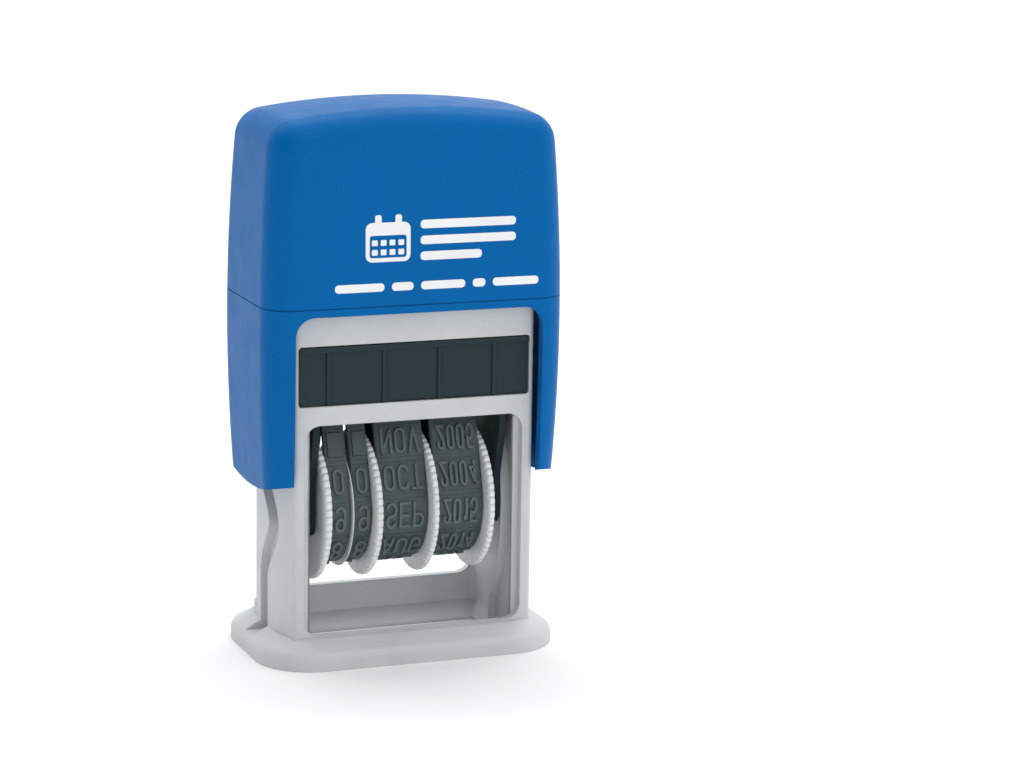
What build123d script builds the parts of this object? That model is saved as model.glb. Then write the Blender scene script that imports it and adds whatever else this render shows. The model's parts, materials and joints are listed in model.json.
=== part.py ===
from build123d import *
import math
import os

# A small self-inking date stamp, in millimetres.
# +Z is up, -Y is the front and +X is the right hand side seen from the front.
# The origin is on the table, under the middle of the foot.
# A cap slides down over an open frame and carries a yoke inside it. The yoke holds the block of
# date bands on two trunnions, and cam pins on the block run in grooves in the frame's side walls,
# so that the block turns over from the ink pad above it to the paper below it.

# ---- driving dimensions ----
FOOT_OVERHANG = 2.8
FOOT_FRONT_OVERHANG = 3.73
FOOT_CORNER = 7.7
FOOT_RIM = 2.2
FOOT_TOP = 3.7
FOOT_SLOPE = 2.9
FOOT_SHOULDER = 1.2

SIDE_WALL = 3.1
SIDE_BOW = 1.4
FRAME_DEPTH = 18.4
FRAME_WALL = 1.2
FRAME_EDGE_RADIUS = 0.8
CAVITY_CORNER = 0.8
LIP_HEIGHT = 2.2
LIP_EDGE = 0.4
LIP_SIDE = 1.2
OPENING_DEPTH = 10.6
ROOF_THICKNESS = 1.2
CAM_TRACK_DEPTH = 1.9
SIDE_STEP_Y = 4.2
SIDE_STEP = 0.3
NOTCH_REACH = 2.3
NOTCH_DEPTH = 1.2

WINDOW_SIDE = 0.26
WINDOW_SILL = 0.15
REAR_WINDOW_SILL = 2.4
WINDOW_TO_PRINT = 3.7
WINDOW_CORNER = 2.15
REAR_WINDOW_CORNER = 3.0

CARTRIDGE_WINDOW_SIDE = 0.92
CARTRIDGE_WINDOW_HEIGHT = 8.11
CARTRIDGE_WINDOW_DROP = 1.13
CARTRIDGE_WINDOW_CORNER = 0.5

PUSH_WINDOW_WIDTH = 18.0
PUSH_WINDOW_RISE = 0.9
PUSH_WINDOW_HEIGHT = 4.0
PUSH_WINDOW_CORNER = 1.0

SLOT_HALF_WIDTH = 1.55
SLOT_BULGE = 3.75
SLOT_BULGE_SHIFT = 0.15
SLOT_BULGE_INSET = 0.9
SLOT_END_ROOM = 2.35
SLOT_SINK = 1.0
GUARD_THICKNESS = 0.6

CAP_CROWN_HEIGHT = 3.3
CAP_WIDEST_DROP = 26.0
CAP_FRONT_HEIGHT = 27.0
CAP_BOTTOM_BOW = 1.7
CAP_SKIRT_TAPER = 0.65
CAP_WALL = 1.4
CAP_SIDE_RADIUS = 245.0
CAP_FACE_RADIUS = 500.0
CAP_CROWN_RADIUS = 115.0
CAP_EDGE_RADIUS = 4.1
CAP_OPENING_CORNER = 2.6
PARTING_GROOVE_WIDTH = 0.14
PARTING_GROOVE_DEPTH = 0.12

STROKE = 17.0
CAM_RADIUS = 4.0
CAM_PIN_RADIUS = 0.8
TRUNNION_RADIUS = 1.5
TRUNNION_PROUD = 0.05
PRINT_FACE_HEIGHT = 36.3
WHEEL_TO_PRINT = 16.5
PAD_BAY_HEIGHT = 12.3

CHEEK_THICKNESS = 0.95
CHEEK_HALF_WIDTH = 5.6
CHEEK_SHOULDER = 7.4
CHEEK_DROP = 3.4
CHEEK_CORNER = 1.9
CHEEK_WAIST = -3.0
CHEEK_SHOULDER_LOW = 3.4
CHEEK_SHOULDER_HIGH = 6.2
CHEEK_TOP_GAP = 0.8
CHEEK_NECK = 1.0
CHEEK_EDGE_RADIUS = 0.8

# The setting wheels, left to right: the drum's width and the toothed disc's.
WHEEL_WIDTHS = {
    "day_tens": (3.2, 0.95),
    "day_units": (2.7, 0.95),
    "month": (6.95, 0.9),
    "year": (6.9, 0.95),
}
WHEEL_RADIUS = 10.1
DRUM_RADIUS = 7.15
AXLE_RADIUS = 1.25
SPACER_LENGTH = 1.25
BAND_THICKNESS = 0.66
TYPE_HEIGHT = 0.45
PLATEN_WIDTH = 5.8
PLATEN_CORNER = 1.0
PLATEN_DEPTH = 4.0
DIVIDER_RADIUS = 8.6
DIVIDER_THICKNESS = 0.1

ARM_THICKNESS = 0.9
ARM_WIDTH = 4.0
ARM_BOSS_RADIUS = 2.9
PIN_TO_ARM = 0.5
BRIDGE_THICKNESS = 1.4
BRIDGE_DEPTH = 10.6
CAP_BOSS_RADIUS = 2.2
CAP_BOSS_OFFSET = 8.0

TRAY_HEIGHT = 4.6
TRAY_WALL = 0.8
TRAY_FLANGE = 0.7
TRAY_FLANGE_HEIGHT = 1.0
FACE_PLATE_HEIGHT = 7.8
FACE_PLATE_THICKNESS = 0.75
FACE_RIB_WIDTH = 0.5
FACE_RIB_HEIGHT = 0.25
FACE_RIB_PITCH = 7.77
FACE_RIB_SHIFT = -0.45
FACE_LIP_HEIGHT = 0.8
FACE_SETBACK = 0.15
FACE_SIDE_GAP = 0.18
PAD_THICKNESS = 3.0
PAD_HALF_DEPTH = 6.3
PAD_GAP = 0.3
PAD_PROUD = 0.3
LEDGE_THICKNESS = 1.0
LEDGE_FRONT_GAP = 2.0
LEDGE_REAR_GAP = 0.5
LEDGE_ROOT = 0.5

SPRING_WIRE = 0.8
SPRING_RADIUS = 4.5
SPRING_TURNS = 4
SPRING_SPARE = 0.2
SPRING_POST_HEIGHT = 1.6

# ---- clearances ----
SIDE_GAP = 0.3
END_GAP = 0.15
ARM_GAP = 0.2
RUNNING_GAP = 0.05
WHEEL_GAP = 0.1
BAND_GAP = 0.1
GROOVE_GAP = 0.2
GUARD_GAP = 0.15
SHOE_GAP = 0.3
CAP_SIDE_GAP = 1.4
CAP_FRONT_GAP = 0.7
CAP_OPENING_GAP = 0.5
CAP_FOOT_GAP = 2.7

OVERCUT = 1.0
CURVE_STEPS = 12

# ---- sizes worked out from the ones above: across ----
row_width = (
    END_GAP
    + sum(drum + disc for drum, disc in WHEEL_WIDTHS.values())
    + DIVIDER_THICKNESS
    + (len(WHEEL_WIDTHS) + 1) * WHEEL_GAP
    + SPACER_LENGTH
)
cheek_inner_x = row_width / 2
cheek_outer_x = cheek_inner_x + CHEEK_THICKNESS
guard_inner_x = cheek_outer_x + GUARD_GAP
arm_inner_x = cheek_outer_x + SIDE_GAP
arm_outer_x = arm_inner_x + ARM_THICKNESS
cavity_width = 2 * (arm_outer_x + ARM_GAP)
frame_width = cavity_width + 2 * SIDE_WALL
frame_edge_width = frame_width - 2 * SIDE_BOW
skin_inner_x = cavity_width / 2 + CAM_TRACK_DEPTH
window_width = cavity_width + 2 * WINDOW_SIDE
cartridge_window_width = window_width + 2 * CARTRIDGE_WINDOW_SIDE
opening_width = cavity_width - 2 * LIP_SIDE
foot_width = frame_width + 2 * FOOT_OVERHANG
cap_width = frame_width + 2 * (CAP_SIDE_GAP + CAP_WALL)
cap_opening_width = frame_edge_width + 2 * CAP_OPENING_GAP
tray_half = cheek_outer_x - TRAY_FLANGE

# ---- front to rear ----
cavity_depth = FRAME_DEPTH - 2 * FRAME_WALL
foot_depth = FRAME_DEPTH + 2 * FOOT_FRONT_OVERHANG
cap_depth = FRAME_DEPTH + 2 * (CAP_FRONT_GAP + CAP_WALL)
arm_front_y = CAM_PIN_RADIUS + PIN_TO_ARM
arm_rear_y = arm_front_y + ARM_WIDTH

# ---- heights ----
pivot_height = (PRINT_FACE_HEIGHT + STROKE) / 2
wheel_height = PRINT_FACE_HEIGHT - WHEEL_TO_PRINT
platen_top = PRINT_FACE_HEIGHT - TYPE_HEIGHT - BAND_THICKNESS - RUNNING_GAP
window_bottom = FOOT_TOP + WINDOW_SILL
rear_window_bottom = FOOT_TOP + REAR_WINDOW_SILL
window_top = PRINT_FACE_HEIGHT - WINDOW_TO_PRINT
cartridge_window_bottom = PRINT_FACE_HEIGHT - CARTRIDGE_WINDOW_DROP
cartridge_window_top = cartridge_window_bottom + CARTRIDGE_WINDOW_HEIGHT
push_window_bottom = PRINT_FACE_HEIGHT + PUSH_WINDOW_RISE
push_window_top = push_window_bottom + PUSH_WINDOW_HEIGHT
slot_middle = pivot_height - STROKE / 2 + SLOT_BULGE_SHIFT
slot_reach = STROKE / 2 - SLOT_BULGE_INSET
slot_bottom = FOOT_TOP - SLOT_SINK
slot_top = pivot_height + CAM_RADIUS + SLOT_END_ROOM
pad_bottom = PRINT_FACE_HEIGHT + PAD_GAP
tray_bottom = pad_bottom + PAD_PROUD
ledge_top = pad_bottom + LEDGE_THICKNESS
plate_bottom = (cartridge_window_bottom + cartridge_window_top - FACE_PLATE_HEIGHT) / 2
frame_height = PRINT_FACE_HEIGHT + PAD_BAY_HEIGHT
roof_underside = frame_height - ROOF_THICKNESS
bridge_height = frame_height + STROKE + SPRING_WIRE * (SPRING_TURNS + 1) + SPRING_SPARE
bridge_top = bridge_height + BRIDGE_THICKNESS
cap_top = bridge_top + CAP_CROWN_HEIGHT
cap_widest_height = cap_top - CAP_WIDEST_DROP
cap_opening_top = cap_top - CAP_FRONT_HEIGHT
cap_bottom = FOOT_TOP + STROKE + CAP_FOOT_GAP

# ---- the setting wheels along the axle: each one's drum and disc, from and to ----
wheels = {}
wheel_x = END_GAP - cheek_inner_x
for name, (drum, disc) in WHEEL_WIDTHS.items():
    if wheels:
        wheels[name] = ((wheel_x, wheel_x + drum), (wheel_x + drum, wheel_x + drum + disc))
        wheel_x += drum + disc + WHEEL_GAP
    else:
        wheels[name] = ((wheel_x + disc, wheel_x + disc + drum), (wheel_x, wheel_x + disc))
        divider_low = wheel_x + disc + drum + WHEEL_GAP
        wheel_x = divider_low + DIVIDER_THICKNESS + WHEEL_GAP
spacer_low = wheel_x


def block(x, y, z):
    """A box given by its low and high ends along each axis."""
    size = [high - low for low, high in (x, y, z)]
    middle = [(high + low) / 2 for low, high in (x, y, z)]
    return Pos(*middle) * Box(*size)


def along_x(profile, low, high):
    """A profile in the YZ plane, extruded between two X positions."""
    return Pos(low, 0, 0) * extrude(Plane.YZ * profile, high - low)


def rod_x(radius, low, high, height, y=0.0):
    """A round bar along X, or a bore's cutter."""
    return along_x(Pos(y, height) * Circle(radius), low, high)


def both_sides(shape):
    """A shape made for the +X side, with its mirror image."""
    return shape + mirror(shape, Plane.YZ)


def rounded_window(width, low, high, corner, y_low, y_high):
    """A cutter along Y with rounded corners."""
    profile = Pos(0, (low + high) / 2) * RectangleRounded(width, high - low, corner)
    return Pos(0, y_high, 0) * extrude(Plane.XZ * profile, y_high - y_low)


# ---- cam ----
def cam_point(share, offset):
    """A point of the cam pin's track at a share of the stroke, moved sideways by offset."""
    turn = math.pi * share
    y = -CAM_RADIUS * math.sin(turn)
    z = pivot_height - STROKE * share + CAM_RADIUS * math.cos(turn)
    slope_y = -CAM_RADIUS * math.pi * math.cos(turn)
    slope_z = -STROKE - CAM_RADIUS * math.pi * math.sin(turn)
    length = math.hypot(slope_y, slope_z)
    return (y - offset * slope_z / length, z + offset * slope_y / length)


def cam_edge(offset):
    """Points of one edge of the track, from its top to its bottom."""
    return [cam_point(i / CURVE_STEPS, offset) for i in range(CURVE_STEPS + 1)]


def cam_guard():
    """The rib along the track's front, down to the foot and clear of the yoke's bosses, as a face."""
    inner = cam_edge(-CAM_PIN_RADIUS - GROOVE_GAP)
    outer = cam_edge(-CAM_PIN_RADIUS - GROOVE_GAP - GUARD_THICKNESS)[::-1]
    outline = Spline(inner)
    outline += Line(inner[-1], (inner[-1][0], 0))
    outline += Line((inner[-1][0], 0), (inner[-1][0] - GUARD_THICKNESS, 0))
    outline += Line((inner[-1][0] - GUARD_THICKNESS, 0), outer[0])
    outline += Spline(outer)
    outline += Line(outer[-1], inner[0])
    boss_path = SlotCenterToCenter(STROKE, 2 * (ARM_BOSS_RADIUS + GUARD_GAP), rotation=90)
    return make_face(outline) - Pos(0, pivot_height - STROKE / 2) * boss_path


def cam_groove():
    """The track that the cam pins follow, as a face in the YZ plane."""
    half = CAM_PIN_RADIUS + GROOVE_GAP
    rear = cam_edge(half)
    front = cam_edge(-half)[::-1]
    start = cam_point(0, 0)
    end = cam_point(1, 0)
    sides = Spline(rear) + Line(rear[-1], front[0]) + Spline(front) + Line(front[-1], rear[0])
    return make_face(sides) + Pos(*start) * Circle(half) + Pos(*end) * Circle(half)


def slot_edge(offset):
    """One edge of the slot in the outer skin: straight, with a smooth bulge to the front."""
    points = []
    for i in range(CURVE_STEPS + 1):
        share = i / CURVE_STEPS
        z = slot_middle + slot_reach * (2 * share - 1)
        wave = math.pi * (2 * share - 1)
        y = -SLOT_BULGE * (1 + math.cos(wave)) / 2
        slope = SLOT_BULGE * math.pi * math.sin(wave) / 2 / slot_reach
        length = math.hypot(slope, 1)
        points.append((y + offset / length, z - offset * slope / length))
    return points


def skin_slot():
    """The slot that shows in the frame's outer skin, as a face in the YZ plane."""
    rear = slot_edge(SLOT_HALF_WIDTH)
    front = slot_edge(-SLOT_HALF_WIDTH)
    outline = Spline(rear, tangents=[(0, 1), (0, 1)])
    outline += Line(rear[-1], (SLOT_HALF_WIDTH, slot_top))
    outline += Line((SLOT_HALF_WIDTH, slot_top), (-SLOT_HALF_WIDTH, slot_top))
    outline += Line((-SLOT_HALF_WIDTH, slot_top), front[-1])
    outline += Spline(front, tangents=[(0, 1), (0, 1)])
    outline += Line(front[0], (-SLOT_HALF_WIDTH, slot_bottom))
    outline += Line((-SLOT_HALF_WIDTH, slot_bottom), (SLOT_HALF_WIDTH, slot_bottom))
    outline += Line((SLOT_HALF_WIDTH, slot_bottom), rear[0])
    return make_face(outline)


# ---- frame ----
def frame_outline():
    """The frame's plan: flat front and rear, sides that bow outwards."""
    edge_x = frame_edge_width / 2
    edge_y = FRAME_DEPTH / 2
    middle_x = frame_width / 2
    outline = Line((-edge_x, -edge_y), (edge_x, -edge_y))
    outline += ThreePointArc((edge_x, -edge_y), (middle_x, 0), (edge_x, edge_y))
    outline += Line((edge_x, edge_y), (-edge_x, edge_y))
    outline += ThreePointArc((-edge_x, edge_y), (-middle_x, 0), (-edge_x, -edge_y))
    plan = make_face(outline)
    return fillet(plan.vertices(), FRAME_EDGE_RADIUS)


def make_foot():
    """The foot: an upright rim, then a slope up to the walls."""
    rim = extrude(RectangleRounded(foot_width, foot_depth, FOOT_CORNER), FOOT_RIM)
    low = Pos(0, 0, FOOT_RIM) * RectangleRounded(foot_width, foot_depth, FOOT_CORNER)
    high = Pos(0, 0, FOOT_TOP) * RectangleRounded(
        foot_width - 2 * FOOT_SLOPE, foot_depth - 2 * FOOT_SLOPE, FOOT_CORNER - FOOT_SLOPE
    )
    foot = rim + loft([low, high], ruled=True)
    shoulder = foot.edges().filter_by(lambda e: abs(e.center().Z - FOOT_RIM) < 0.01)
    return fillet(shoulder, FOOT_SHOULDER)


def make_lip():
    """The sloping lip round the print opening, inside the walls."""
    lip = extrude(Rectangle(cavity_width, cavity_depth), LIP_HEIGHT)
    low = Pos(0, 0, LIP_EDGE) * Rectangle(opening_width, OPENING_DEPTH)
    high = Pos(0, 0, LIP_HEIGHT) * Rectangle(cavity_width, cavity_depth)
    opening = extrude(Rectangle(opening_width, OPENING_DEPTH), LIP_EDGE)
    return lip - loft([low, high], ruled=True) - opening


def make_frame():
    """The grey frame: foot, walls with windows and cam tracks, roof and the cartridge's ledges."""
    half_x = cavity_width / 2
    half_y = cavity_depth / 2
    front = -FRAME_DEPTH / 2
    body = make_foot() + extrude(frame_outline(), frame_height)
    side = block(
        (half_x, frame_width), (SIDE_STEP_Y, FRAME_DEPTH), (FOOT_TOP + OVERCUT, frame_height + OVERCUT)
    )
    kept = offset(frame_outline(), -SIDE_STEP)
    step = side - extrude(kept, frame_height + OVERCUT)
    body -= both_sides(step)
    cavity = RectangleRounded(cavity_width, cavity_depth, CAVITY_CORNER)
    body -= Pos(0, 0, -OVERCUT) * extrude(cavity, roof_underside + OVERCUT)
    body -= rounded_window(
        window_width, window_bottom, window_top, WINDOW_CORNER, front - OVERCUT, -half_y
    )
    body -= rounded_window(
        window_width, rear_window_bottom, window_top, REAR_WINDOW_CORNER, half_y, -front + OVERCUT
    )
    body -= rounded_window(
        cartridge_window_width,
        cartridge_window_bottom,
        cartridge_window_top,
        CARTRIDGE_WINDOW_CORNER,
        front - OVERCUT,
        -half_y,
    )
    body -= rounded_window(
        PUSH_WINDOW_WIDTH,
        push_window_bottom,
        push_window_top,
        PUSH_WINDOW_CORNER,
        half_y - OVERCUT,
        -front + OVERCUT,
    )
    body += make_lip() + both_sides(along_x(cam_guard(), guard_inner_x, half_x))
    groove = along_x(cam_groove(), half_x, skin_inner_x)
    skin = along_x(skin_slot(), skin_inner_x, frame_width)
    notch = block(
        (skin_inner_x, frame_width / 2 + NOTCH_REACH),
        (-SLOT_HALF_WIDTH, SLOT_HALF_WIDTH),
        (FOOT_TOP - NOTCH_DEPTH, slot_middle - slot_reach),
    )
    body -= both_sides(groove + skin + notch)
    arm_slot = block(
        (arm_inner_x - ARM_GAP, half_x),
        (arm_front_y - SHOE_GAP, arm_rear_y + SHOE_GAP),
        (roof_underside - OVERCUT, frame_height + OVERCUT),
    )
    body -= both_sides(arm_slot)
    ledge_inner = tray_half + WHEEL_GAP
    front_ledge = block(
        (ledge_inner, half_x + LEDGE_ROOT),
        (-half_y, arm_front_y - SHOE_GAP - LEDGE_FRONT_GAP),
        (pad_bottom, ledge_top),
    )
    rear_ledge = block(
        (ledge_inner, half_x + LEDGE_ROOT),
        (arm_rear_y + SHOE_GAP + LEDGE_REAR_GAP, half_y + LEDGE_ROOT),
        (pad_bottom, ledge_top),
    )
    body += both_sides(front_ledge + rear_ledge)
    post_radius = SPRING_RADIUS - SPRING_WIRE / 2 - SHOE_GAP
    post = Pos(0, 0, frame_height) * extrude(Circle(post_radius), SPRING_POST_HEIGHT)
    return body + post


# ---- cap ----
def cap_form(inset, bottom):
    """The cap's outer form, or its inner form when inset by the wall."""
    low = bottom - cap_widest_height
    high = cap_top - cap_widest_height + CAP_EDGE_RADIUS
    half_width = cap_width / 2 - inset
    half_depth = cap_depth / 2 - inset

    def bowed(half, radius, low_taper):
        high_taper = high**2 / 2 / radius
        outline = ThreePointArc((half - low_taper, low), (half, 0), (half - high_taper, high))
        outline += Line((half - high_taper, high), (high_taper - half, high))
        outline += ThreePointArc((high_taper - half, high), (-half, 0), (low_taper - half, low))
        outline += Line((low_taper - half, low), (half - low_taper, low))
        return Pos(0, cap_widest_height) * make_face(outline)

    front = bowed(half_width, CAP_SIDE_RADIUS, CAP_SKIRT_TAPER)
    side = bowed(half_depth, CAP_FACE_RADIUS, low**2 / 2 / CAP_FACE_RADIUS)
    form = extrude(Plane.XZ * front, cap_depth, both=True)
    form &= extrude(Plane.YZ * side, cap_width, both=True)
    form &= Pos(0, 0, cap_top - CAP_CROWN_RADIUS) * Sphere(CAP_CROWN_RADIUS - inset)
    rounded = [e for e in form.edges() if e.center().Z > bottom + 1]
    return fillet(rounded, CAP_EDGE_RADIUS - inset)


def skirt_trim():
    """What is cut from under the cap, so that the skirts' lower edges are bowed."""
    half = cap_depth / 2
    ends = cap_bottom + CAP_BOTTOM_BOW
    outline = ThreePointArc((-half, ends), (0, cap_bottom), (half, ends))
    outline += Line((half, ends), (half, cap_bottom - OVERCUT))
    outline += Line((half, cap_bottom - OVERCUT), (-half, cap_bottom - OVERCUT))
    outline += Line((-half, cap_bottom - OVERCUT), (-half, ends))
    return along_x(make_face(outline), -cap_width, cap_width)


def make_cap():
    """The blue cap: a shell with side skirts, open at the front and the rear."""
    cap = cap_form(0, cap_bottom)
    groove = block(
        (-cap_width, cap_width),
        (-cap_depth, cap_depth),
        (cap_widest_height, cap_widest_height + PARTING_GROOVE_WIDTH),
    )
    groove -= cap_form(PARTING_GROOVE_DEPTH, cap_bottom)
    cap -= groove
    cap -= cap_form(CAP_WALL, cap_bottom - 2)
    cap -= rounded_window(
        cap_opening_width,
        cap_bottom - 2 * CAP_OPENING_CORNER,
        cap_opening_top,
        CAP_OPENING_CORNER,
        -cap_depth,
        cap_depth,
    )
    cap -= skirt_trim()
    boss_top = cap_top - CAP_WALL
    boss = Pos(CAP_BOSS_OFFSET, 0, bridge_top) * extrude(
        Circle(CAP_BOSS_RADIUS), boss_top - bridge_top
    )
    return cap + both_sides(boss)


def make_yoke():
    """The yoke: a bridge under the cap's crown and two arms that hold the block's trunnions."""
    bridge = block(
        (-arm_outer_x, arm_outer_x), (-BRIDGE_DEPTH / 2, BRIDGE_DEPTH / 2), (bridge_height, bridge_top)
    )
    arm = block((arm_inner_x, arm_outer_x), (arm_front_y, arm_rear_y), (pivot_height, bridge_height))
    arm += rod_x(ARM_BOSS_RADIUS, arm_inner_x, arm_outer_x, pivot_height)
    heel = make_face(
        Polyline(
            (0, pivot_height - ARM_BOSS_RADIUS),
            (arm_rear_y, pivot_height),
            (arm_rear_y, pivot_height + ARM_BOSS_RADIUS),
            (arm_front_y, pivot_height + ARM_BOSS_RADIUS),
            (0, pivot_height),
            (0, pivot_height - ARM_BOSS_RADIUS),
        )
    )
    arm += along_x(heel, arm_inner_x, arm_outer_x)
    arm -= rod_x(TRUNNION_RADIUS + RUNNING_GAP, arm_inner_x - OVERCUT, arm_outer_x + OVERCUT, pivot_height)
    guide_radius = SPRING_RADIUS - SPRING_WIRE / 2 - SHOE_GAP
    guide = Pos(0, 0, bridge_height - SPRING_POST_HEIGHT) * extrude(
        Circle(guide_radius), SPRING_POST_HEIGHT
    )
    return bridge + both_sides(arm) + guide


def make_spring():
    """The return spring, between the frame's roof and the yoke's bridge."""
    height = bridge_height - frame_height - SPRING_WIRE
    path = Helix(height / SPRING_TURNS, height, SPRING_RADIUS)
    section = Plane(origin=path @ 0, z_dir=path % 0) * Circle(SPRING_WIRE / 2)
    return Pos(0, 0, frame_height + SPRING_WIRE / 2) * sweep(section, path)


# ---- ink pad cartridge ----
def make_tray():
    """The cartridge: an inverted tray on two side flanges, with a ribbed face plate."""
    back_y = cavity_depth / 2 - 2 * SIDE_GAP
    plate_back = -cavity_depth / 2 - FACE_SETBACK
    plate_front = plate_back - FACE_PLATE_THICKNESS
    plate_half = cartridge_window_width / 2 - FACE_SIDE_GAP
    plate_top = plate_bottom + FACE_PLATE_HEIGHT
    tray = block((-tray_half, tray_half), (plate_back, back_y), (tray_bottom, tray_bottom + TRAY_HEIGHT))
    flange_low = ledge_top + WHEEL_GAP
    tray += block(
        (-tray_half - TRAY_FLANGE, tray_half + TRAY_FLANGE),
        (plate_back, back_y),
        (flange_low, flange_low + TRAY_FLANGE_HEIGHT),
    )
    pocket_half = tray_half - TRAY_WALL
    tray -= block(
        (-pocket_half, pocket_half),
        (-PAD_HALF_DEPTH, PAD_HALF_DEPTH),
        (tray_bottom - OVERCUT, pad_bottom + PAD_THICKNESS),
    )
    tray += block((-plate_half, plate_half), (plate_front, plate_back), (plate_bottom, plate_top))
    for i in range(4):
        rib_x = FACE_RIB_SHIFT + FACE_RIB_PITCH * (i - 1.5)
        tray += block(
            (rib_x - FACE_RIB_WIDTH / 2, rib_x + FACE_RIB_WIDTH / 2),
            (plate_front - FACE_RIB_HEIGHT, plate_front),
            (plate_bottom, plate_top - FACE_LIP_HEIGHT),
        )
    tray += block(
        (-plate_half, plate_half),
        (plate_front - FACE_RIB_HEIGHT, plate_front),
        (plate_top - FACE_LIP_HEIGHT, plate_top),
    )
    return tray


def make_pad():
    """The felt ink pad, pushed up into the tray and a little proud of it."""
    half = tray_half - TRAY_WALL
    return block(
        (-half, half), (-PAD_HALF_DEPTH, PAD_HALF_DEPTH), (pad_bottom, pad_bottom + PAD_THICKNESS)
    )


# ---- date block ----
def make_cheek(side):
    """One cheek of the block, with its trunnion and its cam pin, on the side given by its sign."""
    bottom = wheel_height - CHEEK_DROP
    waist = pivot_height + CHEEK_WAIST
    shoulder = pivot_height + CHEEK_SHOULDER_LOW
    shoulder_top = pivot_height + CHEEK_SHOULDER_HIGH
    top = PRINT_FACE_HEIGHT - CHEEK_TOP_GAP
    neck = PLATEN_WIDTH / 2 + CHEEK_NECK
    half_outline = [
        (CHEEK_HALF_WIDTH, bottom),
        (CHEEK_HALF_WIDTH, waist),
        (CHEEK_SHOULDER, shoulder),
        (CHEEK_SHOULDER, shoulder_top),
        (neck, top),
    ]
    mirrored = [(-y, z) for y, z in reversed(half_outline)]
    profile = make_face(Polyline(*half_outline, *mirrored, half_outline[0]))
    profile = fillet(profile.vertices().filter_by(lambda v: v.Y < waist - 0.01), CHEEK_CORNER)
    profile = fillet(profile.vertices().filter_by(lambda v: v.Y > waist - 0.01), CHEEK_EDGE_RADIUS)
    profile -= Pos(0, wheel_height) * Circle(AXLE_RADIUS)
    cheek = along_x(profile, cheek_inner_x, cheek_outer_x)
    cheek += rod_x(TRUNNION_RADIUS, cheek_outer_x, arm_outer_x + TRUNNION_PROUD, pivot_height)
    cam_reach = skin_inner_x - GROOVE_GAP
    cheek += rod_x(CAM_PIN_RADIUS, cheek_outer_x, cam_reach, pivot_height + CAM_RADIUS)
    return cheek if side > 0 else mirror(cheek, Plane.YZ)


def loop_face(radius, corner, half_width, top):
    """The face inside a belt that runs round a wheel's rim and over a bar with rounded corners."""
    centre_y = half_width - corner
    centre_z = top - corner - wheel_height
    distance = math.hypot(centre_y, centre_z)
    lean = math.atan2(centre_y, centre_z) + math.acos((radius - corner) / distance)
    wheel_y = radius * math.sin(lean)
    wheel_z = wheel_height + radius * math.cos(lean)
    bar_y = centre_y + corner * math.sin(lean)
    bar_z = top - corner + corner * math.cos(lean)
    middle = lean / 2
    bend_y = centre_y + corner * math.sin(middle)
    bend_z = top - corner + corner * math.cos(middle)
    outline = Line((wheel_y, wheel_z), (bar_y, bar_z))
    outline += ThreePointArc((bar_y, bar_z), (bend_y, bend_z), (centre_y, top))
    outline += Line((centre_y, top), (-centre_y, top))
    outline += ThreePointArc((-centre_y, top), (-bend_y, bend_z), (-bar_y, bar_z))
    outline += Line((-bar_y, bar_z), (-wheel_y, wheel_z))
    lowest = (0, wheel_height - radius)
    outline += ThreePointArc((-wheel_y, wheel_z), lowest, (wheel_y, wheel_z))
    return make_face(outline)


def make_band(low, high):
    """One rubber band with the envelope of its type, round a drum and over the platen."""
    inner_radius = DRUM_RADIUS + BAND_GAP
    build_up = BAND_THICKNESS + TYPE_HEIGHT
    inner_top = PRINT_FACE_HEIGHT - build_up
    inner_half = PLATEN_WIDTH / 2 + RUNNING_GAP
    inner_corner = PLATEN_CORNER + RUNNING_GAP
    profile = loop_face(
        inner_radius + build_up, inner_corner + build_up, inner_half + build_up, PRINT_FACE_HEIGHT
    )
    profile -= loop_face(inner_radius, inner_corner, inner_half, inner_top)
    return along_x(profile, low, high)


def make_wheel(drum, disc):
    """A setting wheel: a drum inside its band and a larger disc beside it, bored for the axle."""
    wheel = rod_x(DRUM_RADIUS, *drum, wheel_height) + rod_x(WHEEL_RADIUS, *disc, wheel_height)
    return wheel - rod_x(AXLE_RADIUS + RUNNING_GAP, -cap_width, cap_width, wheel_height)


def make_platen():
    """The bar that backs the bands behind the printing line, between the cheeks."""
    profile = Pos(0, platen_top - PLATEN_DEPTH / 2) * RectangleRounded(
        PLATEN_WIDTH, PLATEN_DEPTH, PLATEN_CORNER
    )
    return along_x(profile, -cheek_inner_x, cheek_inner_x)


def make_ring(outer, low, high):
    """A disc or washer that fits the axle closely."""
    bore = rod_x(AXLE_RADIUS, low - OVERCUT, high + OVERCUT, wheel_height)
    return rod_x(outer, low, high, wheel_height) - bore


# ---- all the pieces ----
pieces = {
    "frame": make_frame(),
    "cap": make_cap(),
    "yoke": make_yoke(),
    "return_spring": make_spring(),
    "pad_tray": make_tray(),
    "ink_pad": make_pad(),
    "block_cheek_left": make_cheek(-1),
    "block_cheek_right": make_cheek(1),
    "platen": make_platen(),
    "wheel_axle": rod_x(AXLE_RADIUS, -cheek_outer_x, cheek_outer_x, wheel_height),
    "band_divider": make_ring(DIVIDER_RADIUS, divider_low, divider_low + DIVIDER_THICKNESS),
    "axle_spacer": make_ring(2 * AXLE_RADIUS, spacer_low, cheek_inner_x),
}
for name, (drum, disc) in wheels.items():
    pieces[name + "_wheel"] = make_wheel(drum, disc)
    pieces[name + "_band"] = make_band(drum[0] + WHEEL_GAP, drum[1] - WHEEL_GAP)

os.makedirs("parts", exist_ok=True)
for name, piece in pieces.items():
    export_step(piece, os.path.join("parts", name + ".step"))
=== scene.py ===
import json
import math

import bpy
import numpy as np
from mathutils import Matrix, Vector


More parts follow.
